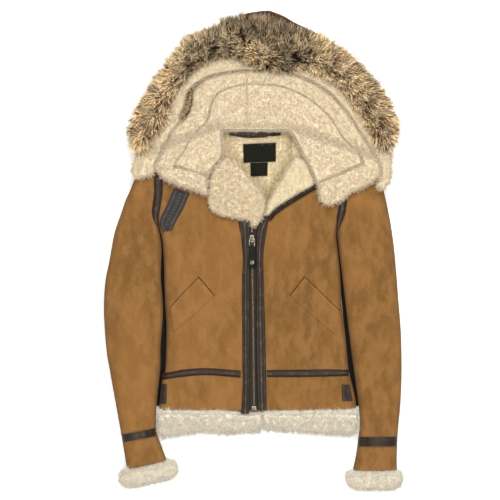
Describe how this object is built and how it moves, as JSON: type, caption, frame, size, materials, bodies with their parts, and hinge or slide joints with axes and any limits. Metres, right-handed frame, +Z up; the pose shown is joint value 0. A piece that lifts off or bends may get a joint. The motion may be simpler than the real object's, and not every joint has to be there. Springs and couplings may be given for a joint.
{
  "type": "sheepskin flying jacket",
  "caption": "Hooded sheepskin flying jacket laid flat on its back, zipped, with turned back wool lapels, wool collar, hem and cuffs, leather trims and a fur edged hood.",
  "frame": {"origin": "middle of the bounding box, on the floor that the jacket lies on", "axes": "+X towards the wearer's left sleeve, +Y from the hem towards the hood, +Z up out of the fronts"},
  "size_m": [0.626, 1.0075, 0.0564],
  "materials": {
    "suede": "napped, matt",
    "wool": "clipped sheep's wool pile",
    "curly_wool": "curled sheep's wool pile",
    "fur": "long guard hairs over dense underfur",
    "leather_trim": "smooth, soft gloss",
    "aged_brass": "darkened",
    "black_cloth": "matt weave"
  },
  "bodies": {
    "jacket": {"armhole_strip_left": "leather_trim", "armhole_strip_right": "leather_trim", "back": "suede", "collar_border_left": "wool", "collar_border_right": "wool", "collar_field_left": "wool", "collar_field_right": "wool", "collar_strap": "leather_trim", "cuff_strip_left": "leather_trim", "cuff_strip_right": "leather_trim", "cuff_wool_left_top": "wool", "cuff_wool_left_under": "wool", "cuff_wool_right_top": "wool", "cuff_wool_right_under": "wool", "front_left": "suede", "front_right": "suede", "fur_ruff": "fur", "hanger_loop": "black_cloth", "hem_wool_back": "wool", "hem_wool_left": "wool", "hem_wool_right": "wool", "hood_crown_strip": "leather_trim", "hood_facing_left": "wool", "hood_facing_right": "wool", "hood_left": "suede", "hood_right": "suede", "lapel_left": "wool", "lapel_left_edge": "leather_trim", "lapel_right": "curly_wool", "neck_label": "black_cloth", "pocket_welt_left": "suede", "pocket_welt_right": "suede", "side_strip_left": "leather_trim", "side_strip_right": "leather_trim", "side_tab_left": "leather_trim", "side_tab_right": "leather_trim", "size_label": "black_cloth", "sleeve_left_top": "suede", "sleeve_left_under": "suede", "sleeve_right_top": "suede", "sleeve_right_under": "suede", "waist_strip_left": "leather_trim", "waist_strip_right": "leather_trim", "zip_box": "aged_brass", "zip_chain": "aged_brass", "zip_facing_left": "leather_trim", "zip_facing_right": "leather_trim", "zip_slider": "aged_brass", "zip_tape": "black_cloth"},
    "pull_tab": {"pull_link": "aged_brass", "pull_tab": "leather_trim", "pull_eyelet": "aged_brass"}
  },
  "joints": [
    {"name": "zip_pull", "type": "hinge", "parent": "jacket", "child": "pull_tab", "pos_m": [-0.0025, 0.024, 0.0378], "axis": [-1, 0, 0], "range_deg": [0, 140]}
  ]
}
